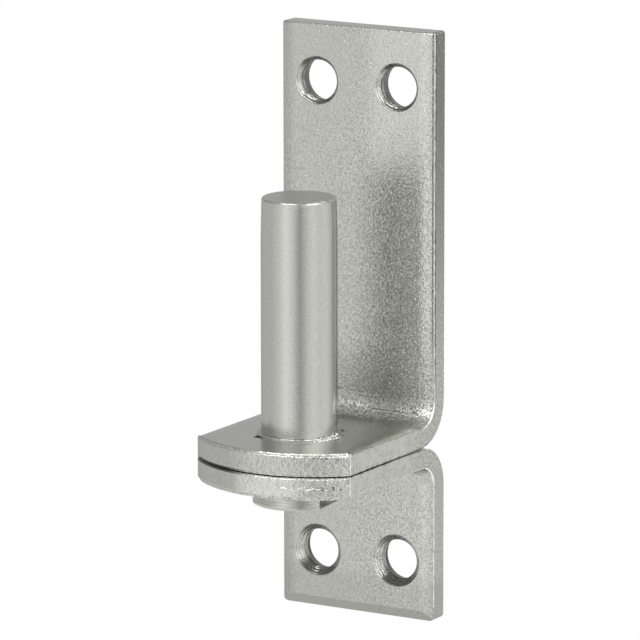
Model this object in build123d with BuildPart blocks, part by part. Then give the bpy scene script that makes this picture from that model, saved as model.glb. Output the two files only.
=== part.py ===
from build123d import *
import os

# Gate hinge pin: two brackets of bent flat steel, held together by an upright
# pin that is riveted through both. The gate's strap eye drops over the pin.
# Frame: Z runs up the pin, z = 0 is the seat where the eye rests, and +Y
# points at the wall. Lengths are in millimetres.

# Flat steel, rolled over by the punch along the edges of one skin
steel = 4.8
bracket_width = 37.0
roll_width = 3.4
roll_depth = 0.7
end_round = 0.5
upper_corner = 0.6
lower_corner = 1.1
hem_height = 2.1
hem_depth = 0.8

# Plates on the wall
pin_to_wall = 28.4
upper_height = 82.6
lower_depth = 43.5

# Bends between tongue and plate, measured on the inside
upper_bend = 4.5
lower_bend = 4.2

# Tongues
tongue_gap = 0.3
tongue_reach = 18.4
tongue_bow = 7.9

# Screw holes, countersunk from the front and set in from the plates' ends. The
# punch broke out wider at the back, so each hole flares towards the wall.
screw_spacing = 19.3
upper_screw_margin = 12.1
lower_screw_margin = 12.4
screw_hole_radius = 4.3
upper_sink_radius = 5.2
lower_sink_radius = 5.7
sink_angle = 90
breakout_radius = 4.8
breakout_depth = 2.4

# Pin above the seat
pin_radius = 8.0
pin_length = 50.2
lead_in_length = 9.0
lead_in_taper = 0.2
crown_round = 0.5
collar_radius = 8.75
collar_height = 0.4
flash_height = 0.15
flash_long_radius = 10.6
flash_short_radius = 8.9
flash_turn = -46

# Shank below the seat, with a flat on each side, and its riveted head
shank_radius = 8.75
shank_flat = 6.6
shank_front = 7.7
shank_clearance = 0.15
head_radius = 10.2
head_flat = 7.75
head_height = 4.5
head_corner = 0.7
head_round = 0.6
head_turn = 6

# Places that follow from the sizes above
plate_front = pin_to_wall - steel
half_width = bracket_width / 2
corner_reach = tongue_reach - tongue_bow
upper_screw_height = upper_height - upper_screw_margin
lower_screw_depth = lower_depth - lower_screw_margin
upper_tongue_base = -steel
lower_tongue_top = upper_tongue_base - tongue_gap
lower_tongue_base = lower_tongue_top - steel

# Flare at the back of a pair of screw holes: the narrow end lies in the steel,
# breakout_depth from the wall, and the wide end on the wall
with BuildPart() as hole_flares:
    with Locations(Plane.XZ.offset(breakout_depth / 2 - pin_to_wall)):
        with GridLocations(screw_spacing, 0, 2, 1):
            Cone(bottom_radius=breakout_radius, top_radius=screw_hole_radius, height=breakout_depth)

# Oblong hole that the shank's flats sit in, punched through both tongues
with BuildSketch() as punched_hole:
    Rectangle(2 * (shank_flat + shank_clearance), 2 * (shank_front + shank_clearance))

# Section of the flat steel: its rolled skin lies on the local X axis, and a
# shallow arc takes each long edge of that skin down to the side
with BuildSketch() as bar_section:
    with BuildLine():
        Polyline(
            (-half_width, -roll_depth),
            (-half_width, -steel),
            (half_width, -steel),
            (half_width, -roll_depth),
        )
        for side in (-1, 1):
            roll_start = side * (half_width - roll_width)
            TangentArc((roll_start, 0), (side * half_width, -roll_depth), tangent=(side, 0))
        Line((-half_width + roll_width, 0), (half_width - roll_width, 0))
    make_face()

# Plan of a bracket from above: square at the wall and bowed at the front
with BuildSketch() as bracket_plan:
    with BuildLine():
        sides = Polyline(
            (-half_width, -corner_reach),
            (-half_width, pin_to_wall),
            (half_width, pin_to_wall),
            (half_width, -corner_reach),
        )
        ThreePointArc(sides @ 1, (0, -tongue_reach), sides @ 0)
    make_face()

# Upper bracket: a tall plate whose foot is bent forward into the upper tongue.
# Its rolled skin is the front of the plate and the top of the tongue.
with BuildPart() as upper_bracket:
    with BuildLine(Plane.YZ) as upper_path:
        FilletPolyline(
            (-tongue_reach, 0),
            (plate_front, 0),
            (plate_front, upper_height),
            radius=upper_bend,
        )
    with BuildSketch(Plane(origin=(0, -tongue_reach, 0), x_dir=(-1, 0, 0), z_dir=(0, 1, 0))):
        add(bar_section.sketch)
    sweep(path=upper_path.line)
    with BuildSketch(Plane.XY.offset(upper_tongue_base)):
        add(bracket_plan.sketch)
    extrude(amount=steel + upper_height, mode=Mode.INTERSECT)
    fillet(upper_bracket.edges().filter_by(Axis.Y).group_by(Axis.Z)[-1], radius=upper_corner)
    top_end = upper_bracket.faces().filter_by(Axis.Z).sort_by(Axis.Z)[-1]
    fillet(top_end.edges().sort_by(Axis.Y)[0], radius=end_round)
    seat = upper_bracket.faces().filter_by(Axis.Z).sort_by(Axis.Z)[-2]
    fillet(seat.edges().sort_by(Axis.Y)[0], radius=end_round)
    with BuildSketch():
        add(punched_hole.sketch)
    extrude(amount=-steel, mode=Mode.SUBTRACT)
    with Locations(Plane.XZ.offset(-plate_front)):
        with Locations((0, upper_screw_height)):
            with GridLocations(screw_spacing, 0, 2, 1):
                CounterSinkHole(
                    radius=screw_hole_radius,
                    counter_sink_radius=upper_sink_radius,
                    depth=steel,
                    counter_sink_angle=sink_angle,
                )
    with Locations((0, 0, upper_screw_height)):
        add(hole_flares.part, mode=Mode.SUBTRACT)

# Lower bracket: a short plate whose top is bent forward under the upper tongue.
# Its rolled skin is the front of the plate and the underside of the tongue,
# and its lower end has a bevelled hem.
with BuildPart() as lower_bracket:
    with BuildLine(Plane.YZ) as lower_path:
        FilletPolyline(
            (-tongue_reach, lower_tongue_base),
            (plate_front, lower_tongue_base),
            (plate_front, -lower_depth),
            radius=lower_bend,
        )
    with BuildSketch(
        Plane(origin=(0, -tongue_reach, lower_tongue_base), x_dir=(1, 0, 0), z_dir=(0, 1, 0))
    ):
        add(bar_section.sketch)
    sweep(path=lower_path.line)
    with BuildSketch(Plane.XY.offset(lower_tongue_top)):
        add(bracket_plan.sketch)
    extrude(amount=-lower_depth - lower_tongue_top, mode=Mode.INTERSECT)
    fillet(lower_bracket.edges().filter_by(Axis.Y).group_by(Axis.Z)[0], radius=lower_corner)
    with BuildSketch(Plane.YZ):
        with BuildLine():
            Polyline(
                (plate_front, hem_height - lower_depth),
                (plate_front + hem_depth, -lower_depth),
                (plate_front, -lower_depth),
                close=True,
            )
        make_face()
    extrude(amount=half_width, both=True, mode=Mode.SUBTRACT)
    underside = lower_bracket.faces().filter_by(Axis.Z).sort_by(Axis.Z)[-2]
    fillet(underside.edges().sort_by(Axis.Y)[0], radius=end_round)
    with BuildSketch(Plane.XY.offset(lower_tongue_top)):
        add(punched_hole.sketch)
    extrude(amount=-steel, mode=Mode.SUBTRACT)
    with Locations(Plane.XZ.offset(-plate_front)):
        with Locations((0, -lower_screw_depth)):
            with GridLocations(screw_spacing, 0, 2, 1):
                CounterSinkHole(
                    radius=screw_hole_radius,
                    counter_sink_radius=lower_sink_radius,
                    depth=steel,
                    counter_sink_angle=sink_angle,
                )
    with Locations((0, 0, -lower_screw_depth)):
        add(hole_flares.part, mode=Mode.SUBTRACT)

# Hinge pin: a round pin on a thin collar, a shank with four flats that passes
# both tongues, and a head hammered out below them. The thin flash under the
# collar was squeezed out across two corners of the punched hole.
with BuildPart() as hinge_pin:
    with BuildSketch(Plane.XZ):
        with BuildLine():
            Polyline(
                (0, 0),
                (pin_radius, 0),
                (pin_radius, pin_length - lead_in_length),
                (pin_radius - lead_in_taper, pin_length),
                (0, pin_length),
                close=True,
            )
        make_face()
    revolve(axis=Axis.Z)
    fillet(hinge_pin.edges().filter_by(GeomType.CIRCLE).sort_by(Axis.Z)[-1], radius=crown_round)
    with BuildSketch():
        Circle(collar_radius)
    extrude(amount=collar_height)
    with BuildSketch():
        Ellipse(flash_long_radius, flash_short_radius, rotation=flash_turn)
    extrude(amount=flash_height)
    with BuildSketch():
        Circle(shank_radius)
        Rectangle(2 * shank_flat, 2 * shank_front, mode=Mode.INTERSECT)
    extrude(amount=lower_tongue_base)
    with BuildSketch(Plane.XY.offset(lower_tongue_base)) as head_outline:
        Circle(head_radius)
        Rectangle(2 * head_flat, 2 * head_radius, rotation=head_turn, mode=Mode.INTERSECT)
        fillet(head_outline.vertices(), radius=head_corner)
    extrude(amount=-head_height)
    fillet(hinge_pin.faces().sort_by(Axis.Z)[0].edges(), radius=head_round)

upper_bracket.part.label = "upper_bracket"
lower_bracket.part.label = "lower_bracket"
hinge_pin.part.label = "hinge_pin"

os.makedirs("parts", exist_ok=True)
export_step(upper_bracket.part, "parts/upper_bracket.step")
export_step(lower_bracket.part, "parts/lower_bracket.step")
export_step(hinge_pin.part, "parts/hinge_pin.step")
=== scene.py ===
from math import cos, pi, radians, sin

import bpy
import numpy as np
from mathutils import Matrix, Vector


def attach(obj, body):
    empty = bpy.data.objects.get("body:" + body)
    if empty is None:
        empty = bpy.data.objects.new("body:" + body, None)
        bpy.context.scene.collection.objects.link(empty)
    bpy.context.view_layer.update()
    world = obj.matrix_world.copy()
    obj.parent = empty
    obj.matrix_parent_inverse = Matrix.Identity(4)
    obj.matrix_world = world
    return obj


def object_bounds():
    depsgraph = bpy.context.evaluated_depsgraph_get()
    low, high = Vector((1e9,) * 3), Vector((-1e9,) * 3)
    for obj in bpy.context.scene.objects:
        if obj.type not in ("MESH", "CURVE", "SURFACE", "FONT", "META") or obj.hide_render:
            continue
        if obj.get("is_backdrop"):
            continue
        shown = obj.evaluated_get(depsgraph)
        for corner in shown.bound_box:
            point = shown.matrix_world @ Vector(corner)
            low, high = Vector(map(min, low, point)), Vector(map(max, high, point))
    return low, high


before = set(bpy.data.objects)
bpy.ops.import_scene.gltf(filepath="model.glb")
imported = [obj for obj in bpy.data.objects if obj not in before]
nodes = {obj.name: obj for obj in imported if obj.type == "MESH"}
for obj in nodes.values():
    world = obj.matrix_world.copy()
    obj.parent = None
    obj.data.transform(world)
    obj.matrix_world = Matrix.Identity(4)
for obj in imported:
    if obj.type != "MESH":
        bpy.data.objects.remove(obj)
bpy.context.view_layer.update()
millimetre = 0.001


print("frame loaded:", sorted(nodes))


# Camera

camera = {
    "lensMm": 321.4,
    "sensorMm": 36.0,
    "azimuthDeg": 30.76,      # turned from straight in front towards the right side
    "elevationDeg": 11.55,
    "rollDeg": -0.08,
    "distanceMm": 1191.8,     # from the aim point
    "aimAcrossMm": 4.31,      # aim point, from the pin's foot, across and up the picture
    "aimUpMm": 24.03,
    "aimDropMm": 0.35,
    "clipEndM": 50.0,
}


def buildCamera(values):
    # looks along azimuth and elevation at the aim point, from the distance, and rolls about that line
    azimuth, elevation = radians(values["azimuthDeg"]), radians(values["elevationDeg"])
    right = Vector((cos(azimuth), sin(azimuth), 0))
    forward = Vector((-sin(azimuth) * cos(elevation), cos(azimuth) * cos(elevation), -sin(elevation)))
    up = right.cross(forward)
    aim = values["aimAcrossMm"] * right + values["aimUpMm"] * up - Vector((0, 0, values["aimDropMm"]))
    data = bpy.data.cameras.new("camera")
    data.lens = values["lensMm"]
    data.sensor_width = values["sensorMm"]
    data.sensor_fit = "HORIZONTAL"
    data.clip_end = values["clipEndM"]
    view = bpy.data.objects.new("camera", data)
    bpy.context.scene.collection.objects.link(view)
    turn = Matrix((right, up, -forward)).transposed() @ Matrix.Rotation(radians(values["rollDeg"]), 3, "Z")
    view.matrix_world = turn.to_4x4()
    view.location = (aim - values["distanceMm"] * forward) * millimetre
    bpy.context.scene.camera = view


buildCamera(camera)
print("camera placed")


# Node trees

def linear(hexColour):
    # sRGB hex to linear red, green, blue and a full alpha
    channels = [int(hexColour[i:i + 2], 16) / 255 for i in (1, 3, 5)]
    return [c / 12.92 if c <= 0.04045 else ((c + 0.055) / 1.055) ** 2.4 for c in channels] + [1.0]


def addNode(tree, kind, settings=None, **sockets):
    # adds a node, sets its properties, and sets or links each input, given by its name or as i and its place
    node = tree.nodes.new(kind)
    for name, value in (settings or {}).items():
        setattr(node, name, value)
    for name, value in sockets.items():
        byPlace = name[0] == "i" and name[1:].isdigit()
        socket = node.inputs[int(name[1:]) if byPlace else name.replace("_", " ")]
        if isinstance(value, bpy.types.NodeSocket):
            tree.links.new(value, socket)
        else:
            socket.default_value = value
    return node


def newMaterial(name):
    # an empty material and its node tree
    material = bpy.data.materials.new(name)
    material.use_nodes = True
    material.node_tree.nodes.clear()
    return material, material.node_tree


def readPlace(tree, noises):
    # the outputs that a finish is made from, by name: the place in millimetres, the way the face looks,
    # and each noise, given by its size in millimetres along the three axes, its detail and its roughness
    place = addNode(tree, "ShaderNodeTexCoord").outputs["Object"]
    inMm = addNode(
        tree, "ShaderNodeVectorMath", {"operation": "MULTIPLY"}, i0=place, i1=[1 / millimetre] * 3,
    ).outputs[0]
    faces = addNode(tree, "ShaderNodeNewGeometry").outputs["True Normal"]
    outputs = {}
    for names, vector in (
        (("across", "depth", "height"), inMm),
        (("facingRight", "facingBack", "facingUp"), faces),
    ):
        outputs.update(zip(names, addNode(tree, "ShaderNodeSeparateXYZ", Vector=vector).outputs))
    for name, (size, detail, roughness) in noises.items():
        spaced = addNode(tree, "ShaderNodeVectorMath", {"operation": "DIVIDE"}, i0=inMm, i1=size).outputs[0]
        outputs[name] = addNode(
            tree, "ShaderNodeTexNoise", Vector=spaced, Scale=1.0, Detail=detail, Roughness=roughness,
        ).outputs[0]
    return outputs


def addMasks(tree, outputs, masks):
    # adds masks to the named outputs. Each mask joins its parts by its operation. A part is the name of an
    # earlier output, or a smooth step of one: its name, where the step starts and ends, and the values that
    # it goes from and to, where they aren't 0 and 1
    for name, (operation, *parts) in masks.items():
        joined = None
        for part in parts:
            if isinstance(part, tuple):
                source, start, end, *span = part
                low, high = span or (0.0, 1.0)
                output = addNode(
                    tree, "ShaderNodeMapRange", {"interpolation_type": "SMOOTHSTEP"},
                    Value=outputs[source], From_Min=start, From_Max=end, To_Min=low, To_Max=high,
                ).outputs[0]
            else:
                output = outputs[part]
            if joined is None:
                joined = output
            else:
                joined = addNode(
                    tree, "ShaderNodeMath", {"operation": operation}, i0=joined, i1=output,
                ).outputs[0]
        outputs[name] = joined


def finishSteel(tree, outputs, values, roughness, **bumpInputs):
    # bare metal: the colour, with each layer's colour mixed over it as far as the layer's mask goes, and a
    # relief that is the sum of outputs times their heights in millimetres
    colour = linear(values["colour"])
    for mask, hexColour in values["layers"]:
        colour = addNode(
            tree, "ShaderNodeMix", {"data_type": "RGBA"},
            Factor=outputs[mask], i6=colour, i7=linear(hexColour),
        ).outputs[2]
    relief = 0.0
    for name, heightMm in values["reliefMm"].items():
        relief = addNode(
            tree, "ShaderNodeMath", {"operation": "MULTIPLY_ADD"}, i0=outputs[name], i1=heightMm, i2=relief,
        ).outputs[0]
    bump = addNode(
        tree, "ShaderNodeBump", Strength=1.0, Distance=millimetre, Height=relief, **bumpInputs,
    ).outputs[0]
    shader = addNode(
        tree, "ShaderNodeBsdfPrincipled", Base_Color=colour, Metallic=1.0, Roughness=roughness, Normal=bump,
    )
    addNode(tree, "ShaderNodeOutputMaterial", Surface=shader.outputs[0])


# Bracket steel: stainless flat bar, tumbled after bending, which leaves an even satin skin
# with a fine orange-peel grain that sparkles where it mirrors something dark

bracketLook = {
    "noises": {
        # real tumbling grain is about 0.15 mm, drawn coarser so that it shows
        "grain": ((0.5, 0.5, 0.5), 2.5, 0.6),
        "dents": ((2.0, 2.0, 2.0), 1.0, 0.5),
        "blots": ((0.42, 0.42, 0.42), 0.0, 0.5),
        # lines that the bending tool left across the bend's inside, also drawn coarser
        "lines": ((2.857, 0.4167, 0.4167), 2.0, 0.5),
    },
    "gapDropMm": 4.95,        # the middle of the gap between the tongues, below the seat
    "masks": {
        # the grain is strong right of the pin, low on the upper plate and in its bend, and weak on the lower
        # plate, the sides and the level faces
        "grainy": (
            "MULTIPLY", ("across", -8, 8, 0.45, 1.0), ("height", 74, 50, 0.6, 1.0),
            ("height", 22, 8, 1.0, 1.4), ("height", -9, -12, 1.0, 0.36), ("height", -14, -20, 1.0, 1.556),
            ("sideways", 0.8, 0.95, 1.0, 0.8), ("level", 0.9, 0.99, 1.0, 0.3),
        ),
        "pitToPeak": ("MULTIPLY", ("grain", 0.34, 0.62, -0.5, 0.5), "grainy"),
        "skinGrain": ("MULTIPLY", "grain", "grainy"),
        "skinDents": ("MULTIPLY", "dents", "grainy"),
        "skinSpecks": ("MULTIPLY", ("blots", 0.62, 0.72), "grainy"),
        "bendLines": ("MULTIPLY", "lines", ("height", 4.6, 4.2), ("height", -1, 0), ("level", 0.99, 0.96)),
        # lighter on the fronts of the plates, to the right and high up
        "front": (
            "MULTIPLY", ("facingBack", -0.92, -0.99), ("across", 18.5, 14.5, 0.1, 0.7),
            ("height", -14, -8, 0.3, 1.0),
        ),
        "rubbedRight": ("MULTIPLY", "front", ("across", 6, 14)),
        "rubbedHigh": ("MULTIPLY", "front", ("height", 42, 56), ("across", 1, 6)),
        "rubbed": ("MAXIMUM", "rubbedRight", "rubbedHigh"),
        # painted shade low on the upper plate and in the inside of its bend, and low on the lower plate
        "dulledBend": (
            "MULTIPLY", ("height", 17, 8, 0.0, 0.4), ("height", -1, 1), ("across", 13, 9),
            ("level", 0.9, 0.7),
        ),
        "dulled": ("ADD", "dulledBend", ("height", -33, -37, 0.0, 0.3)),
        # the sheared right side: darker towards the top, and brighter in patches at the tongues
        "rightSide": ("MULTIPLY", ("facingRight", 0.8, 0.95)),
        "darkerHighSide": ("MULTIPLY", "rightSide", ("height", 8, 72, 0.0, 0.62)),
        "brightSide": ("MULTIPLY", "rightSide", ("depth", 20, 12), ("dents", 0.32, 0.62, 0.2, 0.8)),
        # painted shade: beside the burnished edge, in its nook, in the bend's fold, and on both sides of the
        # gap
        "besideEdge": (
            "MULTIPLY", "rightSide", ("depth", 24.40, 24.46), ("depth", 24.85, 24.72),
            ("height", 5, 12), ("dents", 0.3, 0.5, 0.4, 1.0),
        ),
        "nook": (
            "MULTIPLY", ("across", 17.9, 18.0), ("across", 18.25, 18.15), ("height", 8, 20),
            ("grain", 0.40, 0.55, 0.1, 0.9),
        ),
        "fold": (
            "MULTIPLY", ("height", 1.42, 1.54), ("height", 1.74, 1.62), ("across", 3, 5),
            ("across", 15, 9), ("sideways", 0.5, 0.3, 0.0, 0.55), ("depth", 24.2, 24.0),
        ),
        "gapSide": ("MULTIPLY", "rightSide", ("fromGap", 0.48, 0.26, 0.0, 0.9), ("depth", 21, 18)),
        "gapFront": ("MULTIPLY", ("fromGap", 0.66, 0.46), ("depth", 0, -6), ("across", 1, -8)),
        "scale": ("MAXIMUM", "besideEdge", "nook", "fold", "gapSide", "gapFront"),
        # painted shade on the downward-facing bevel along the lower end
        "hemShade": ("MULTIPLY", ("height", -40, -41), ("facingUp", -0.25, -0.32)),
        # satin on the skin, and rougher down the sides
        "skinRough": ("MULTIPLY", ("grain", 0.35, 0.65, 0.13, 0.22), ("sideways", 0.8, 0.95, 1.0, 0.0)),
        "sideRough": ("MULTIPLY", ("height", 75, -2, 0.18, 0.60), ("sideways", 0.8, 0.95, 0.0, 1.0)),
        "rough": ("ADD", "skinRough", "sideRough"),
    },
    "holes": (                # each pair of screw holes, and the depth to which its countersinks are turned
        {"acrossMm": 9.65, "heightMm": 70.5, "turnedToMm": 25.6},
        {"acrossMm": 9.65, "heightMm": -31.1, "turnedToMm": 26.9},
    ),
    "holeMasks": {            # the turned cone, the punched wall behind it, and where the two blend
        "sunk": ("MULTIPLY", ("depth", 23.7, 23.8), ("fromMiddle", 6.2, 6.1), ("facingBack", 0.95, 0.9)),
        "cone": ("MULTIPLY", "sunk", ("pastTurning", 0.1, 0.0)),
        "behind": ("MULTIPLY", "sunk", ("pastTurning", 0.0, 0.1)),
        "narrow": ("MULTIPLY", "cone", ("fromMiddle", 4.4, 4.35)),
        "turned": ("ADD", "turned", "cone"),
        # the wall behind the cone, painted dark as the bore's shade
        "punched": ("ADD", "punched", "behind"),
        "blended": ("ADD", "blended", "narrow"),
    },
    "ringMm": 0.45,           # spacing of the turned rings
    "ringMasks": {            # the rings, and the darker arcs of the cones that look up or down
        "rings": ("MULTIPLY", "wave", "turned"),
        # painted shade on the cones where they look up or down
        "arcShade": ("MULTIPLY", "turned", ("level", 0.3, 0.62, 0.0, 0.85)),
    },
    "lean": -0.8,             # how far the blended wall's shading leans to the front
    # the grain's tone, with painted shade in its pits and a painted sparkle on its high points
    "colour": "#A4A59E",      # in the grain's pits
    "layers": (               # each is laid over the ones before
        ("grainAndSparkle", "#D3D4CE"),
        ("rubbed", "#D3D3CD"),
        # painted shade in the upper bend and low on the lower plate
        ("dulled", "#9C9C96"),
        # painted shade in the bore behind the countersink
        ("punched", "#6E6E69"),
        # painted shade on the cones that look up or down
        ("arcShade", "#6E6E69"),
        ("darkerHighSide", "#949592"),
        # painted shade along edges, in the nook and fold, and at the gap
        ("scale", "#4E4E4C"),
        ("brightSide", "#D3D3CD"),
        # painted shade on the downward bevel
        ("hemShade", "#A0A19A"),   # the bevel along the lower end
    ),
    "reliefMm": {
        "skinGrain": 0.120,
        "skinDents": 0.030,
        "skinSpecks": 0.100,
        "bendLines": 0.090,
        "rings": 0.018,
    },
}


def buildBracketSteel(values):
    # the masks of the skin and of the screw holes; the turned rings are a sine of the depth, on the cones
    # alone. Sideways and level say how far a face looks to either side and up or down, aside is the distance
    # from the middle of the bracket, and fromGap the height above or below the gap
    material, tree = newMaterial("tumbled_stainless_flat_steel")
    outputs = readPlace(tree, values["noises"])
    outputs["aboveGap"] = addNode(
        tree, "ShaderNodeMath", {"operation": "ADD"}, i0=outputs["height"], i1=values["gapDropMm"],
    ).outputs[0]
    for name, source in (
        ("sideways", "facingRight"), ("level", "facingUp"), ("aside", "across"), ("fromGap", "aboveGap"),
    ):
        outputs[name] = addNode(
            tree, "ShaderNodeMath", {"operation": "ABSOLUTE"}, i0=outputs[source],
        ).outputs[0]
    addMasks(tree, outputs, values["masks"])
    # the grain's high points: their tone, painted lighter as sparkle
    outputs["grainAndSparkle"] = addNode(
        tree, "ShaderNodeMath", {"operation": "ADD", "use_clamp": True}, i0=outputs["pitToPeak"], i1=0.5,
    ).outputs[0]

    outputs.update(turned=0.0, punched=0.0, blended=0.0)
    spot = addNode(tree, "ShaderNodeCombineXYZ", X=outputs["aside"], Z=outputs["height"]).outputs[0]
    for hole in values["holes"]:
        outputs["fromMiddle"] = addNode(
            tree, "ShaderNodeVectorMath", {"operation": "DISTANCE"},
            i0=spot, i1=(hole["acrossMm"], 0, hole["heightMm"]),
        ).outputs["Value"]
        outputs["pastTurning"] = addNode(
            tree, "ShaderNodeMath", {"operation": "SUBTRACT"}, i0=outputs["depth"], i1=hole["turnedToMm"],
        ).outputs[0]
        addMasks(tree, outputs, values["holeMasks"])
    turns = addNode(
        tree, "ShaderNodeMath", {"operation": "MULTIPLY"}, i0=outputs["depth"], i1=2 * pi / values["ringMm"],
    ).outputs[0]
    outputs["wave"] = addNode(tree, "ShaderNodeMath", {"operation": "SINE"}, i0=turns).outputs[0]
    addMasks(tree, outputs, values["ringMasks"])

    # the turning blends the punched wall into the countersink, so its shading leans to the front there
    forward = addNode(
        tree, "ShaderNodeMath", {"operation": "MULTIPLY"}, i0=outputs["blended"], i1=values["lean"],
    ).outputs[0]
    normal = addNode(
        tree, "ShaderNodeVectorMath", {"operation": "ADD"},
        i0=addNode(tree, "ShaderNodeNewGeometry").outputs["Normal"],
        i1=addNode(tree, "ShaderNodeCombineXYZ", Y=forward).outputs[0],
    ).outputs[0]
    normal = addNode(tree, "ShaderNodeVectorMath", {"operation": "NORMALIZE"}, i0=normal).outputs[0]
    finishSteel(tree, outputs, values, outputs["rough"], Normal=normal)
    return material


# Pin steel: turned and tumbled stainless bar, a smoother satin that shows soft bands along the pin

pinLook = {
    "noises": {
        "grain": ((0.32, 0.32, 0.32), 2.0, 0.6),         # really about 0.15 mm, drawn coarser so that it shows
        "dents": ((3.0, 3.0, 3.0), 1.0, 0.5),
        "nicks": ((2.2, 2.2, 0.5), 1.0, 0.5),
        "streaks": ((4.5, 4.5, 0.16), 1.5, 0.5),
    },
    "masks": {
        # the grain's tone, with a painted sparkle on its high points
        "grainAndSparkle": ("MULTIPLY", ("grain", 0.34, 0.62)),
        # small nicks round the crown
        "crownNicks": ("MULTIPLY", "nicks", ("height", 49.0, 49.5), ("facingUp", 0.97, 0.9)),
        # the riveted head, streaked round by the hammering, with painted shade on its right flats
        "head": ("MULTIPLY", ("height", -9.5, -10.0)),
        "lightStreaks": ("MULTIPLY", "head", ("streaks", 0.38, 0.60)),
        # painted shade on the head's right flats
        "flatShade": ("MULTIPLY", "head", ("facingRight", 0.86, 0.96), ("nicks", 0.35, 0.6, 0.35, 1.0)),
        # smoother towards the top of the pin, and rougher on its sawn end
        "rough": (
            "ADD", ("grain", 0.35, 0.65, 0.14, 0.22), ("height", 25, 47, 0.0, -0.07),
            ("facingUp", 0.97, 0.995, 0.0, 0.22),
        ),
    },
    "colour": "#BBBCB6",
    "layers": (("grainAndSparkle", "#C5C6C0"), ("head", "#AAAAA4"), ("lightStreaks", "#C6C6C0"), ("flatShade", "#6E6E69")),
    "reliefMm": {"grain": 0.016, "dents": 0.025, "crownNicks": 0.13},
}


def buildPinSteel(values):
    # one even grain along the pin, with masks for its crown, its end and its head
    material, tree = newMaterial("turned_stainless_pin_steel")
    outputs = readPlace(tree, values["noises"])
    addMasks(tree, outputs, values["masks"])
    finishSteel(tree, outputs, values, outputs["rough"])
    return material


bracketSteel = buildBracketSteel(bracketLook)
pinSteel = buildPinSteel(pinLook)
finishes = {"upper_bracket": bracketSteel, "lower_bracket": bracketSteel, "hinge_pin": pinSteel}
for name, material in finishes.items():
    for place in nodes[name].material_slots:
        place.material = material
print("materials assigned")


# Torn steel: the sheared front ends of the tongues, rough where the metal broke away, and brighter there by
# painted sparkle, with painted shade in the pits

tornLook = {
    "noises": {
        "grain": ((0.30, 0.30, 1.0714), 2.5, 0.65),      # the tears run up and down
        "blots": ((0.6, 0.6, 0.6), 1.0, 0.5),
    },
    "gapDropMm": 4.95,               # the middle of the gap between the tongues, below the seat
    "hollowRowsMm": (-1.0, -7.3),    # a few deep pits lie at these heights, give or take the reach
    "hollowReachMm": 0.45,
    "masks": {
        # smooth left of where the metal began to tear, and at the lower edge
        "torn": ("MULTIPLY", ("across", -6, -2, 0.5, 1.0), ("height", -8.3, -7.8, 0.3, 1.0)),
        "tears": ("MULTIPLY", "grain", "torn"),
        # the grain's contrast: painted shade in its pits and painted sparkle on its high points
        "pitToPeak": ("MULTIPLY", ("grain", 0.34, 0.62, -0.5, 0.5), "torn"),
        # a few deep pits, painted dark as their shade
        "pitShade": (
            "MULTIPLY", "hollowRows", ("blots", 0.60, 0.64), ("across", 11.5, 13), ("across", 18, 17.2),
        ),
        # the lower tongue's break is brighter in its middle
        "lighterMiddle": ("MULTIPLY", ("height", -4.9, -5.3, 0.0, 0.4), ("across", -6, -3), ("across", 12, 7)),
        # the shears rounded both edges over beside the gap on the left, with painted shade along them
        "scale": ("MULTIPLY", ("fromGap", 0.66, 0.46), ("across", 1, -8, 0.0, 0.9)),
        "rough": ("MULTIPLY", ("grain", 0.35, 0.65, 0.12, 0.24)),
    },
    "colour": "#AEAFA9",
    # painted shade: dark pits, and the gap's rounded edges; the lower break is lighter in its middle
    "layers": (("grainAndSparkle", "#CCCDC7"), ("pitShade", "#5E5E59"), ("lighterMiddle", "#EDEDE8"), ("scale", "#33332F")),
    "reliefMm": {"tears": 0.100},
}


def buildTornSteel(values):
    # the grain's relief and contrast times the share that is torn; pits only within reach of their rows
    material, tree = newMaterial("sheared_stainless_edge")
    outputs = readPlace(tree, values["noises"])
    above = addNode(
        tree, "ShaderNodeMath", {"operation": "ADD"}, i0=outputs["height"], i1=values["gapDropMm"],
    ).outputs[0]
    outputs["fromGap"] = addNode(tree, "ShaderNodeMath", {"operation": "ABSOLUTE"}, i0=above).outputs[0]
    rows = 0.0
    for row in values["hollowRowsMm"]:
        near = addNode(
            tree, "ShaderNodeMath", {"operation": "COMPARE"},
            i0=outputs["height"], i1=row, i2=values["hollowReachMm"],
        ).outputs[0]
        rows = addNode(tree, "ShaderNodeMath", {"operation": "ADD"}, i0=near, i1=rows).outputs[0]
    outputs["hollowRows"] = rows
    addMasks(tree, outputs, values["masks"])
    outputs["grainAndSparkle"] = addNode(
        tree, "ShaderNodeMath", {"operation": "ADD", "use_clamp": True}, i0=outputs["pitToPeak"], i1=0.5,
    ).outputs[0]
    finishSteel(tree, outputs, values, outputs["rough"])
    return material


tornSteel = buildTornSteel(tornLook)


# Burnished steel: raised edges, burnished bright in the tumbling drum, their near-white colour also a painted
# glint

burnishedGlintLook = {
    "noises": {"grain": ((0.6, 0.6, 0.6), 1.0, 0.5)},    # rub marks, drawn coarser so that they show
    # near-white: the burnish's own brightness with a painted glint
    "colour": "#F0F0EC",
    "layers": (),
    "reliefMm": {"grain": 0.060},
    "roughness": 0.16,
}


def buildBurnishedGlintSteel(values):
    # one even colour and roughness over a soft grain
    material, tree = newMaterial("burnished_edge_painted_glint")
    finishSteel(tree, readPlace(tree, values["noises"]), values, values["roughness"])
    return material


burnishedGlintSteel = buildBurnishedGlintSteel(burnishedGlintLook)


# Detail pieces, worked out as grids in millimetres

latticeSize = 251             # random values along each side of a noise lattice
threadTurn = np.linspace(0, 2 * pi, 10, endpoint=False)[None, :]      # ten points round each thread


def eased(value, start, end):
    # a smooth step from 0 to 1 as the value runs from start to end
    share = np.clip((value - start) / (end - start), 0, 1)
    return share * share * (3 - 2 * share)


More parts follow.
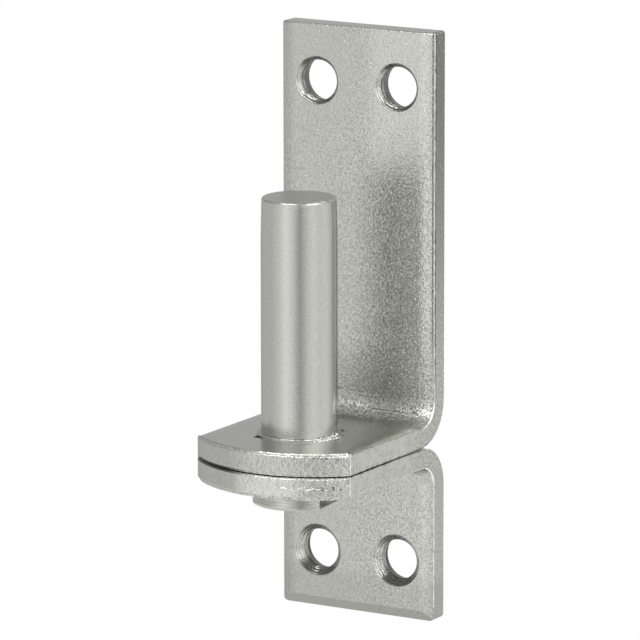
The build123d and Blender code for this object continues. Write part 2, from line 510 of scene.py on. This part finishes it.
def softNoise(seed, across, along):
    # random values from -1 to 1 on a square lattice, blended between neighbours by the eased step
    lattice = np.random.default_rng(seed).uniform(-1, 1, (latticeSize, latticeSize))
    i, j = np.floor(across).astype(int), np.floor(along).astype(int)
    s, t = eased(across - i, 0, 1), eased(along - j, 0, 1)
    left, right = i % latticeSize, (i + 1) % latticeSize
    near, far = j % latticeSize, (j + 1) % latticeSize
    low = lattice[left, near] * (1 - s) + lattice[right, near] * s
    high = lattice[left, far] * (1 - s) + lattice[right, far] * s
    return low * (1 - t) + high * t


def waver(along, row):
    # noise along a line times an amount; the row gives the amount, the lattice's seed and its spacing in
    # millimetres, and where on the lattice the line starts and lies
    amount, seed, spacing, start, line = row
    return amount * softNoise(seed, along / spacing + start, 0 * along + line)


def finishMesh(name, points, faces, material):
    # makes a smooth piece from points in millimetres, which rides on the one body
    mesh = bpy.data.meshes.new(name)
    mesh.from_pydata((points * millimetre).tolist(), [], faces)
    mesh.shade_smooth()
    mesh.materials.append(material)
    piece = bpy.data.objects.new(name, mesh)
    bpy.context.scene.collection.objects.link(piece)
    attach(piece, "root")
    print("made", name, len(faces), "faces")


def carryRings(name, rings, material, closed=False):
    # joins each closed ring of points to the next; open ends are capped by a fan about their middle.
    # All faces are turned over when the quads enclose a negative volume
    count, around = rings.shape[:2]
    points = rings.reshape(-1, 3)
    k, m = np.meshgrid(np.arange(count if closed else count - 1), np.arange(around), indexing="ij")
    after, beside = (k + 1) % count, (m + 1) % around
    quads = np.stack(
        (k * around + m, k * around + beside, after * around + beside, after * around + m), axis=-1,
    ).reshape(-1, 4)
    fans = np.zeros((0, 3), int)
    if not closed:
        points = np.vstack((points, rings[0].mean(axis=0), rings[-1].mean(axis=0)))
        turn, first = np.arange(around), np.full(around, count * around)
        end = (count - 1) * around
        fans = np.vstack((
            np.stack((np.roll(turn, -1), turn, first), axis=-1),
            np.stack((end + turn, end + np.roll(turn, -1), first + 1), axis=-1),
        ))
    a, b, c, d = (points[quads[:, n]] for n in range(4))
    volume = (np.cross(b - a, c - a) * a).sum() + (np.cross(c - a, d - a) * a).sum()
    way = -1 if volume < 0 else 1
    finishMesh(name, points, quads[:, ::way].tolist() + fans[:, ::way].tolist(), material)


# The plan of a tongue's bowed end, shared by the pieces on it
bow = {
    "halfWidthMm": 18.5,
    "reachMm": 18.4,
    "bowMm": 7.9,
}
bowRadius = (bow["halfWidthMm"] ** 2 + bow["bowMm"] ** 2) / (2 * bow["bowMm"])
bowMiddle = bowRadius - bow["reachMm"]


def onBow(degrees, out, height):
    # points by the angle round the bow's middle from straight in front, how far out of the face, and height
    turn, away = np.radians(degrees), bowRadius + out
    across, depth = away * np.sin(turn), bowMiddle - away * np.cos(turn)
    return np.stack(np.broadcast_arrays(across, depth, height), axis=-1)


tongueEnds = {
    "upper_tongue_end": {
        "topMm": -0.42, "bottomMm": -4.68, "roughFromDeg": 2.0, "roughHeightMm": 0.055, "seed": 3,
        "tearMm": -0.95, "tearHeightMm": 0.10, "tearFromDeg": 3.0, "tearToDeg": 42.0, "tearWaveMm": 0.25,
    },
    "lower_tongue_end": {
        "topMm": -5.22, "bottomMm": -9.30, "roughFromDeg": -5.0, "roughHeightMm": 0.070, "seed": 8,
        "tearMm": -7.35, "tearHeightMm": 0.16, "tearFromDeg": 6.0, "tearToDeg": 40.0, "tearWaveMm": 0.22,
    },
}
tornSkin = {
    "halfDeg": 45.9,          # the bowed end runs this far to each side
    "columns": 420,
    "rows": 46,
    "borderDeg": 0.9,         # where the skin sinks into the steel at its ends, and at its top and bottom
    "borderMm": 0.3,
    "sunkMm": 0.1,
    "standMm": 0.11,          # out of the face between the borders
    "backSunkMm": 0.6,        # the closed back, with every so many of the rows
    "backEvery": 15,
    "leastRough": 0.2,        # share of the roughness that is left where the metal was cut, not torn
    "tearingDeg": (-2, 1),    # over which the tearing sets in
    "lumps": ((1.0, 0.55), (0.6, 0.3)),      # share and spacing in mm of the coarse and the fine lumps
    "lumpsStart": (90, 60),   # where on the lattice they start
    "ridgeMm": 0.2,           # half width of the torn ridge
    "ridgeWander": (1.6, 90, 5),     # spacing in mm and place on the lattice, as in waver
    "ridgeUneven": (0.9, 90, 9),
    "ridgeStrength": (0.35, 0.9),    # in the mean, and how much it changes
    "ridgeFadeDeg": 3,
}


def buildTongueEnd(name, values, skin):
    # a thin skin on the bowed end: out of the face by noise where the metal broke, with a bell-shaped torn
    # ridge along it, sunk into the steel at its borders and closed behind
    degrees = np.linspace(-skin["halfDeg"], skin["halfDeg"], skin["columns"])[:, None]
    height = np.linspace(values["bottomMm"], values["topMm"], skin["rows"])[None, :]
    along = np.radians(degrees) * bowRadius
    begin, full = (values["roughFromDeg"] + offset for offset in skin["tearingDeg"])
    rough = skin["leastRough"] + (1 - skin["leastRough"]) * eased(degrees, begin, full)
    seed, (startAlong, startUp) = values["seed"], skin["lumpsStart"]
    lumps = 0.0
    for n, (share, spacing) in enumerate(skin["lumps"]):
        lump = softNoise(seed + n, along / spacing + startAlong, height / spacing + startUp)
        lumps = lumps + share * lump
    wander = values["tearMm"] + waver(along, (values["tearWaveMm"], seed + 2, *skin["ridgeWander"]))
    mean, spread = skin["ridgeStrength"]
    strength = np.clip(mean + waver(along, (spread, seed + 3, *skin["ridgeUneven"])), 0, 1)
    fade = skin["ridgeFadeDeg"]
    strength = strength * eased(degrees, values["tearFromDeg"], values["tearFromDeg"] + fade)
    strength = strength * eased(degrees, values["tearToDeg"], values["tearToDeg"] - fade)
    ridge = values["tearHeightMm"] * strength * np.exp(-((height - wander) / skin["ridgeMm"]) ** 2)
    border = skin["borderMm"]
    inside = eased(height, values["bottomMm"], values["bottomMm"] + border)
    inside = inside * eased(height, values["topMm"], values["topMm"] - border)
    inside = inside * eased(np.abs(degrees), skin["halfDeg"], skin["halfDeg"] - skin["borderDeg"])
    stand = skin["sunkMm"] + skin["standMm"] + values["roughHeightMm"] * rough * lumps + ridge
    face = onBow(degrees, -skin["sunkMm"] + stand * inside, height)
    back = onBow(degrees, -skin["backSunkMm"], height[:, ::-1][:, ::skin["backEvery"]])
    carryRings(name, np.concatenate((face, back), axis=1), tornSteel)


for name, values in tongueEnds.items():
    buildTongueEnd(name, values, tornSkin)


edgeBurr = {
    "fromDeg": 1.0,
    "toDeg": 45.2,
    "rings": 360,
    "sunkMm": 0.21,           # middle of the burr, in from the end's face and down from the seat
    "radiusMm": 0.17,
    "uneven": (0.075, 21, 0.7, 90, 3),       # noise rows, as waver reads them
    "fineUneven": (0.045, 22, 0.35, 90, 3),
    "rangeMm": (0.05, 0.3),
}


def buildEdgeBurr(values):
    # a thin uneven thread along the upper tongue's front edge: a circle of changing radius carried on the bow
    degrees = np.linspace(values["fromDeg"], values["toDeg"], values["rings"])[:, None]
    along = np.radians(degrees) * bowRadius
    radius = values["radiusMm"] + waver(along, values["uneven"]) + waver(along, values["fineUneven"])
    radius = np.clip(radius, *values["rangeMm"])
    sunk = -values["sunkMm"]
    rings = onBow(degrees, sunk + radius * np.cos(threadTurn), sunk + radius * np.sin(threadTurn))
    carryRings("upper_edge_burr", rings, burnishedGlintSteel)


buildEdgeBurr(edgeBurr)


rolledEdges = {
    # the rolled skin's path: the tongue's height, the bend's radius and the plate's end, up or down
    "upper_rolled_edge": {
        "tongueMm": 0.0, "bendMm": 4.5, "endMm": 82.0, "way": 1,
        "uneven": (0.05, 51, 1.1, 9, 3), "fineUneven": (0.025, 52, 0.4, 9, 3),
    },
    "lower_rolled_edge": {
        "tongueMm": -9.9, "bendMm": 4.2, "endMm": -40.8, "way": -1,
        "uneven": (0.05, 54, 1.1, 9, 3), "fineUneven": (0.025, 55, 0.4, 9, 3),
    },
}
rolledEdge = {
    "acrossMm": 18.46,        # middle of the thread: just inside the right side, at the rolled skin's foot
    "sunkMm": 0.74,
    "cornerMm": -10.3,
    "plateFrontMm": 23.6,
    "rings": 900,
    "radiusMm": 0.10,
    "bendSwellMm": 0.24,      # bending squeezes the inner corner out
}


def buildRolledEdge(name, path, values):
    # a burnished ridge along the skin's right edge: a circle of changing radius carried on line, arc and
    # line, and swollen in the arc by the sine of twice the angle turned
    bend = path["bendMm"] + values["sunkMm"]
    straight = values["plateFrontMm"] - path["bendMm"] - values["cornerMm"]
    rising = abs(path["endMm"] - path["tongueMm"]) - path["bendMm"]
    gone = np.linspace(0, straight + bend * pi / 2 + rising, values["rings"])[:, None]
    turned = np.clip((gone - straight) / bend, 0, pi / 2)
    up = np.clip(gone - straight - bend * pi / 2, 0, None)
    radius = values["radiusMm"] + waver(gone, path["uneven"]) + waver(gone, path["fineUneven"])
    radius = radius + values["bendSwellMm"] * np.sin(2 * turned)
    over = radius * np.sin(threadTurn)
    depth = values["cornerMm"] + np.clip(gone, 0, straight) + (bend - over) * np.sin(turned)
    height = -values["sunkMm"] + over * np.cos(turned) + bend * (1 - np.cos(turned)) + up
    across = values["acrossMm"] + radius * np.cos(threadTurn)
    rings = np.stack(np.broadcast_arrays(across, depth, path["tongueMm"] + path["way"] * height), axis=-1)
    carryRings(name, rings, burnishedGlintSteel)


for name, path in rolledEdges.items():
    buildRolledEdge(name, path, rolledEdge)


footBead = {
    "radiusMm": 8.42,
    "heightMm": 0.34,
    "rings": 480,
    "threadMm": 0.20,
    "uneven": (0.09, 31, 0.8, 0, 2),
    "wander": (0.05, 33, 1.5, 0, 4),
    "fadeDeg": 12,            # the noise fades out here on both sides of 0 degrees, so that it meets itself
    "swellings": 11,          # swellings of squeezed metal on the bead's right side
    "swellingsDeg": (56, 98),
    "swellingDeg": (0.8, 1.8),
    "swellingMm": (0.1, 0.3),
    "thicker": 0.7,           # shares of a swelling that thicken the thread and lift it
    "higher": 0.6,
    "seed": 32,
}


def buildFootBead(values):
    # metal squeezed out round the pin's foot: a circle of changing radius carried round the pin, with
    # bell-shaped swellings on its right
    degrees = np.linspace(0, 360, values["rings"], endpoint=False)[:, None]
    angle = np.radians(degrees)
    along = angle * values["radiusMm"]
    fade = eased(degrees, 0, values["fadeDeg"]) * eased(degrees, 360, 360 - values["fadeDeg"])
    thread = values["threadMm"] + fade * waver(along, values["uneven"])
    lift = 0.0
    chance = np.random.default_rng(values["seed"])
    for spot in chance.uniform(*values["swellingsDeg"], values["swellings"]):
        bell = np.exp(-((degrees - spot) / chance.uniform(*values["swellingDeg"])) ** 2)
        bell = bell * chance.uniform(*values["swellingMm"])
        thread, lift = thread + bell * values["thicker"], lift + bell * values["higher"]
    away = values["radiusMm"] + thread * np.cos(threadTurn) + fade * waver(along, values["wander"])
    height = values["heightMm"] + lift + thread * np.sin(threadTurn)
    rings = np.stack(np.broadcast_arrays(away * np.sin(angle), -away * np.cos(angle), height), axis=-1)
    carryRings("pin_foot_bead", rings, pinSteel, closed=True)


buildFootBead(footBead)


footCrumbs = {
    "count": 34,
    "aroundDeg": (50, 94),    # from straight in front towards the right side
    "awayMm": (8.5, 9.5),
    "heightMm": 0.12,
    "radiusMm": (0.10, 0.24),
    "lumpy": (0.75, 1.25),
    "meridians": 8,
    "parallels": 5,
    "seed": 61,
}


def buildFootCrumbs(values):
    # specks of squeezed metal beside the pin's foot: spheres of uneven radius, each a stack of rings that
    # is closed by its poles
    chance = np.random.default_rng(values["seed"])
    around, over = values["meridians"], values["parallels"]
    m, p = np.meshgrid(np.arange(around), np.arange(over), indexing="ij")
    turn, tilt = m * 2 * pi / around, (p + 1) * pi / (over + 1)
    ways = np.stack((np.sin(tilt) * np.cos(turn), np.sin(tilt) * np.sin(turn), np.cos(tilt)), axis=-1)
    place = m * over + p
    after = np.roll(place, -1, axis=0)
    quads = np.stack((place[:, :-1], place[:, 1:], after[:, 1:], after[:, :-1]), axis=-1).reshape(-1, 4)
    top = np.full(around, around * over)
    fans = np.vstack((
        np.stack((after[:, 0], top, place[:, 0]), axis=-1),
        np.stack((place[:, -1], top + 1, after[:, -1]), axis=-1),
    ))
    points, faces = [], []
    for crumb in range(values["count"]):
        angle = np.radians(chance.uniform(*values["aroundDeg"]))
        away, radius = chance.uniform(*values["awayMm"]), chance.uniform(*values["radiusMm"])
        middle = np.array([away * np.sin(angle), -away * np.cos(angle), values["heightMm"]])
        size = radius * chance.uniform(*values["lumpy"], turn.shape)
        pole = np.array([0, 0, radius])
        ball = middle + (size[..., None] * ways).reshape(-1, 3)
        first = crumb * (around * over + 2)
        points.append(np.vstack((ball, middle + pole, middle - pole)))
        faces += (quads + first).tolist() + (fans + first).tolist()
    finishMesh("foot_crumbs", np.vstack(points), faces, burnishedGlintSteel)


buildFootCrumbs(footCrumbs)


cornerEdges = {
    "upper_corner_edge": {"fromMm": -4.6, "toMm": -0.25, "uneven": (0.05, 71, 0.6, 90, 3)},
    "lower_corner_edge": {"fromMm": -9.3, "toMm": -5.3, "uneven": (0.05, 73, 0.6, 90, 3)},
}
cornerEdge = {
    "acrossMm": 18.42,
    "depthMm": -10.42,
    "rings": 60,
    "radiusMm": 0.13,
}


def buildCornerEdge(name, span, values):
    # a burnished ridge on the right front corner of a tongue: a circle of changing radius carried straight up
    height = np.linspace(span["fromMm"], span["toMm"], values["rings"])[:, None]
    radius = values["radiusMm"] + waver(height, span["uneven"])
    across = values["acrossMm"] + radius * np.cos(threadTurn)
    depth = values["depthMm"] + radius * np.sin(threadTurn)
    rings = np.stack(np.broadcast_arrays(across, depth, height), axis=-1)
    carryRings(name, rings, burnishedGlintSteel)


for name, span in cornerEdges.items():
    buildCornerEdge(name, span, cornerEdge)


tearThread = {
    "heightMm": -7.45,
    "fromDeg": 7.0,
    "toDeg": 36.0,
    "rings": 420,
    "outMm": 0.1,
    "radiusMm": 0.02,
    "uneven": (0.15, 81, 0.7, 90, 3),
    "rangeMm": (0.02, 0.17),
    "wander": (0.22, 82, 1.3, 90, 3),
}


def buildTearThread(values):
    # the bright upper lip of the lower tongue's tear: a thread on the bow that swells and dies away by noise
    degrees = np.linspace(values["fromDeg"], values["toDeg"], values["rings"])[:, None]
    along = np.radians(degrees) * bowRadius
    radius = np.clip(values["radiusMm"] + waver(along, values["uneven"]), *values["rangeMm"])
    middle = values["heightMm"] + waver(along, values["wander"])
    out = values["outMm"] + radius * np.cos(threadTurn)
    rings = onBow(degrees, out, middle + radius * np.sin(threadTurn))
    carryRings("lower_tear", rings, burnishedGlintSteel)


buildTearThread(tearThread)


bendCrease = {
    "bendMm": 4.5,            # inner radius of the upper bend
    "plateFrontMm": 23.6,
    "sunkMm": 0.06,
    "angleDeg": 44.0,         # up from the tongue round the bend
    "wanderDeg": (3.0, 42, 3.0, 50, 1),
    "fromMm": 3.5,
    "toMm": 16.2,
    "rings": 160,
    "endMm": 0.03,            # radius at the ends, and how much more it is between them
    "threadMm": 0.16,
    "startFadeMm": 2.0,
    "endFadeMm": 1.0,
    "uneven": (0.35, 41, 0.9, 50, 1),
}


def buildBendCrease(values):
    # a fold line pressed into the inside of the bend: a thin uneven thread along it, half sunk in the steel
    across = np.linspace(values["fromMm"], values["toMm"], values["rings"])[:, None]
    ends = eased(across, values["fromMm"], values["fromMm"] + values["startFadeMm"])
    ends = ends * eased(across, values["toMm"], values["toMm"] - values["endFadeMm"])
    thread = (values["endMm"] + ends * values["threadMm"]) * (1 + waver(across, values["uneven"]))
    reach = values["bendMm"] + values["sunkMm"] - thread * np.cos(threadTurn)
    angle = np.radians(values["angleDeg"] + waver(across, values["wanderDeg"]))
    angle = angle + thread * np.sin(threadTurn) / values["bendMm"]
    depth = values["plateFrontMm"] - values["bendMm"] + reach * np.sin(angle)
    height = values["bendMm"] - reach * np.cos(angle)
    rings = np.stack(np.broadcast_arrays(across, depth, height), axis=-1)
    carryRings("bend_crease", rings, burnishedGlintSteel)


buildBendCrease(bendCrease)


# Floor, backdrop and light

studio = {
    "floorDropMm": 150.0,
    "floorRadiusMm": 450.0,
    "floorSides": 128,
    "paper": "#F4F4F2",
    # how much white each kind of ray sees, in the world and on the floor; the rest is the room or the paper
    "worldWhite": {"Is Camera Ray": 1.0, "Is Glossy Ray": 0.35, "Is Transmission Ray": 1.0},
    "floorWhite": {"Is Camera Ray": 0.9, "Is Glossy Ray": 0.9, "Is Transmission Ray": 0.9},
    # strength of the room's light by azimuth in degrees, from straight in front towards the right side
    "lowRing": {
        -180: 0.11, -150: 0.17, -120: 0.29, -90: 0.54, -60: 0.57, -31: 0.88, -20: 1.12, -10: 1.34,
        5: 1.06, 17: 0.75, 26: 0.42, 33: 0.20, 38: 0.31, 46: 0.57, 57: 0.82, 75: 1.06, 95: 0.88,
        120: 0.97, 135: 0.75, 152: 0.08,
    },
    "highRing": {
        -180: 0.23, -149: 0.31, -110: 0.15, -60: 0.29, -20: 1.00, 0: 1.08, 31: 0.69, 45: 1.15, 60: 1.92,
        75: 2.15, 95: 1.92, 118: 1.23, 149: 0.23,
    },
    "overhead": 0.35,
    "below": 0.74,
    # by how steeply a ray goes up: from the low ring to the high one, and on to overhead or below
    "masks": {
        "rising": ("MULTIPLY", ("up", -0.1, 0.15)),
        "overhead": ("MULTIPLY", ("up", 0.5, 0.85)),
        "below": ("MULTIPLY", ("up", -0.45, -0.8)),
    },
}


def shareOfWhite(tree, rays):
    # the sum of each kind of ray times its share, at most 1
    path = addNode(tree, "ShaderNodeLightPath")
    total = 0.0
    for ray, share in rays.items():
        total = addNode(
            tree, "ShaderNodeMath", {"operation": "MULTIPLY_ADD", "use_clamp": True},
            i0=path.outputs[ray], i1=share, i2=total,
        ).outputs[0]
    return total


def buildWorld(values):
    # the white background, and a room whose light changes with azimuth and with height; camera and
    # transmission rays see the white alone, glossy rays a share of it, and diffuse rays the room alone
    world = bpy.data.worlds.new("studio")
    bpy.context.scene.world = world
    world.use_nodes = True
    tree = world.node_tree
    tree.nodes.clear()
    ray = addNode(tree, "ShaderNodeTexCoord").outputs["Generated"]
    right, back, up = addNode(tree, "ShaderNodeSeparateXYZ", Vector=ray).outputs
    front = addNode(tree, "ShaderNodeMath", {"operation": "MULTIPLY"}, i0=back, i1=-1.0).outputs[0]
    turn = addNode(tree, "ShaderNodeMath", {"operation": "ARCTAN2"}, i0=right, i1=front).outputs[0]
    azimuth = addNode(tree, "ShaderNodeMapRange", Value=turn, From_Min=-pi, From_Max=pi).outputs[0]
    rings = []
    for name in ("lowRing", "highRing"):
        ramp = addNode(tree, "ShaderNodeValToRGB", {"name": name}, Fac=azimuth)
        stops = ramp.color_ramp.elements
        stops[1].position = 1.0
        stops[0].color = stops[1].color = [values[name][-180]] * 3 + [1.0]
        for degrees, strength in values[name].items():      # the ramp runs once round, from -180 to 180
            if degrees > -180:
                stops.new(degrees / 360 + 0.5).color = [strength] * 3 + [1.0]
        rings.append(ramp.outputs[0])
    outputs = {"up": up}
    addMasks(tree, outputs, values["masks"])
    light = addNode(
        tree, "ShaderNodeMix", {"data_type": "RGBA"}, Factor=outputs["rising"], i6=rings[0], i7=rings[1],
    ).outputs[2]
    for name in ("overhead", "below"):
        light = addNode(
            tree, "ShaderNodeMix", {"data_type": "RGBA", "name": name},
            Factor=outputs[name], i6=light, i7=[values[name]] * 3 + [1.0],
        ).outputs[2]
    room = addNode(tree, "ShaderNodeBackground", Color=light, Strength=1.0).outputs[0]
    white = addNode(tree, "ShaderNodeBackground", Color=(1, 1, 1, 1), Strength=1.0).outputs[0]
    share = shareOfWhite(tree, values["worldWhite"])
    mix = addNode(tree, "ShaderNodeMixShader", i0=share, i1=room, i2=white)
    addNode(tree, "ShaderNodeOutputWorld", Surface=mix.outputs[0])


def buildFloor(values):
    # a pale disc below the object, which keeps a share of the paper's own shading and so the object's shadow
    bpy.ops.mesh.primitive_circle_add(
        vertices=values["floorSides"], radius=values["floorRadiusMm"] * millimetre, fill_type="NGON",
    )
    floor = bpy.context.object
    floor.name = "floor"
    floor.location = (0, 0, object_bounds()[0][2] - values["floorDropMm"] * millimetre)
    material, tree = newMaterial("white_paper_floor")
    paper = addNode(tree, "ShaderNodeBsdfDiffuse", Color=linear(values["paper"])).outputs[0]
    white = addNode(tree, "ShaderNodeEmission", Color=(1, 1, 1, 1), Strength=1.0).outputs[0]
    share = shareOfWhite(tree, values["floorWhite"])
    mix = addNode(tree, "ShaderNodeMixShader", i0=share, i1=paper, i2=white)
    addNode(tree, "ShaderNodeOutputMaterial", Surface=mix.outputs[0])
    floor.data.materials.append(material)
    floor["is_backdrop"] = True


softboxes = {
    "front_softbox": {"azimuthDeg": -10, "watts": 8.0},
    "right_softbox": {"azimuthDeg": 88, "watts": 7.0},
}
softbox = {
    "elevationDeg": 52,
    "distanceM": 1.6,
    "widthM": 1.0,
    "heightM": 0.35,
}


def addSoftbox(name, lampValues, values):
    # a long soft lamp on a circle round the object, facing it
    azimuth, elevation = radians(lampValues["azimuthDeg"]), radians(values["elevationDeg"])
    away = Vector((sin(azimuth) * cos(elevation), -cos(azimuth) * cos(elevation), sin(elevation)))
    data = bpy.data.lights.new(name, "AREA")
    data.shape = "RECTANGLE"
    data.size, data.size_y = values["widthM"], values["heightM"]
    data.energy = lampValues["watts"]
    lamp = bpy.data.objects.new(name, data)
    bpy.context.scene.collection.objects.link(lamp)
    lamp.location = away * values["distanceM"]
    lamp.rotation_euler = away.to_track_quat("Z", "Y").to_euler()


buildWorld(studio)
buildFloor(studio)
for name, lampValues in softboxes.items():
    addSoftbox(name, lampValues, softbox)
bpy.context.scene.view_settings.view_transform = "Standard"
print("studio lit")
